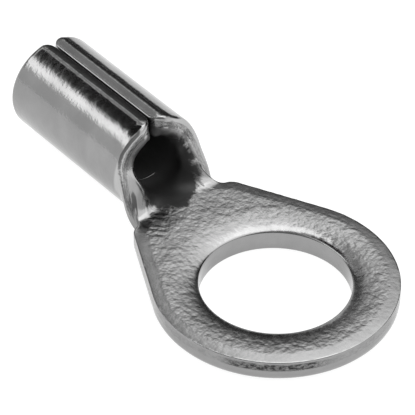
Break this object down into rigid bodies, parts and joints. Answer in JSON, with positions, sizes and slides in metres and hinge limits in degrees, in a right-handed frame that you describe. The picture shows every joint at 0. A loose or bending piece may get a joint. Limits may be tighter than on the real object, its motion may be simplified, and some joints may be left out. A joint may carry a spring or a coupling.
{
  "type": "ring terminal",
  "caption": "Uninsulated crimp ring terminal: a flat ring for a stud and a tongue whose rolled barrel, open along a seam on top, takes a stripped wire.",
  "frame": {"origin": "centre of the stud hole, on the flat underside of the ring", "axes": "+X along the tongue and the wire barrel, away from the ring; +Z out of the top of the ring, on the side of the barrel's seam; +Y completes the right-handed frame"},
  "size_m": [0.0214, 0.0106, 0.0045],
  "materials": {
    "tinned_copper": "satin tin plating"
  },
  "bodies": {
    "root": {"ring_terminal": "tinned_copper"}
  },
  "joints": []
}
